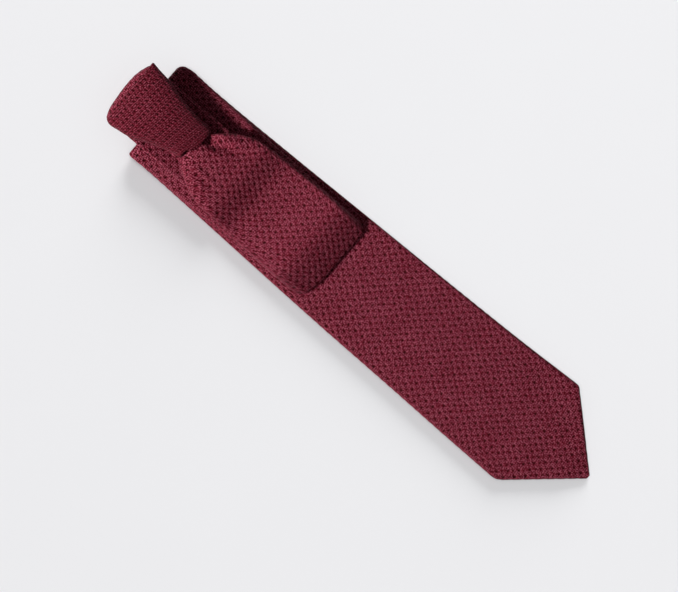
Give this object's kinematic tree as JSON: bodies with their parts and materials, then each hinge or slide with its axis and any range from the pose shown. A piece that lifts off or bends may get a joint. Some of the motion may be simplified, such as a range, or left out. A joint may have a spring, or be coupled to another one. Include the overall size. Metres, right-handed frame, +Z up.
{
  "type": "necktie",
  "caption": "Knotted necktie folded for display: four-in-hand knot with dimple, folded blade, flattened neck loop, sliding tail, keeper loop, and folds that open.",
  "frame": {"origin": "bottom centre of the whole folded tie's box, on the surface that it lies on", "axes": "+X along the blade towards its point, +Y across the blade, +Z up out of the blade's face"},
  "size_m": [0.3856, 0.0804, 0.0311],
  "materials": {
    "silk": "burgundy grenadine silk, open gauze weave, soft sheen",
    "lining": "plain burgundy lining silk, smooth sheen",
    "interlining": "brushed wool, matt off-white",
    "label": "blank woven satin tape",
    "thread": "burgundy silk sewing thread"
  },
  "bodies": {
    "blade": {"blade_shell": "silk", "blade_interlining": "interlining", "blade_tipping": "lining", "keeper_loop": "silk", "maker_label": "label", "blade_bar_tack": "thread", "slip_stitch_blade": "thread", "back_fold_bend": "silk"},
    "middle_layer": {"middle_shell": "silk", "middle_interlining": "interlining", "slip_stitch_middle": "thread", "front_fold_bend": "silk"},
    "knot_end": {"upper_shell": "silk", "upper_interlining": "interlining", "slip_stitch_upper": "thread", "knot_front_wrap": "silk", "knot_core": "silk", "knot_back_wrap": "silk", "neck_bend_left_near": "silk", "neck_bend_right_near": "silk"},
    "neck_near": {"neck_left_near": "silk", "neck_left_near_interlining": "interlining", "neck_right_near": "silk", "neck_right_near_interlining": "interlining", "neck_bend_left_far": "silk", "neck_bend_right_far": "silk"},
    "neck_far": {"neck_left_far": "silk", "neck_left_far_interlining": "interlining", "neck_right_far": "silk", "neck_right_far_interlining": "interlining", "neck_turn": "silk"},
    "tail": {"tail_shell": "silk", "tail_interlining": "interlining", "tail_tipping": "lining", "care_label": "label", "tail_bar_tack": "thread"}
  },
  "joints": [
    {"name": "back_fold", "type": "hinge", "parent": "blade", "child": "middle_layer", "pos_m": [-0.17, 0, 0.00435], "axis": [0, -1, 0], "range_deg": [0, 178], "deforming": ["back_fold_bend"]},
    {"name": "front_fold", "type": "hinge", "parent": "middle_layer", "child": "knot_end", "pos_m": [-0.02, 0, 0.01005], "axis": [0, 1, 0], "range_deg": [0, 178], "deforming": ["front_fold_bend"]},
    {"name": "neck_near_fold", "type": "hinge", "parent": "knot_end", "child": "neck_near", "pos_m": [-0.189, 0, 0.0192], "axis": [0, 1, 0], "range_deg": [0, 178], "deforming": ["neck_bend_left_near", "neck_bend_right_near"]},
    {"name": "neck_far_fold", "type": "hinge", "parent": "neck_near", "child": "neck_far", "pos_m": [-0.106, 0, 0.01265], "axis": [0, -1, 0], "range_deg": [0, 178], "deforming": ["neck_bend_left_far", "neck_bend_right_far"]},
    {"name": "tail_slide", "type": "slide", "parent": "knot_end", "child": "tail", "axis": [1, 0, 0], "range_m": [0, 0.005], "deforming": ["tail_shell"]}
  ],
  "couplings": [
    {"joint": "front_fold", "follows": "back_fold", "ratio": 1},
    {"joint": "neck_near_fold", "follows": "back_fold", "ratio": 1},
    {"joint": "neck_far_fold", "follows": "back_fold", "ratio": 1}
  ]
}
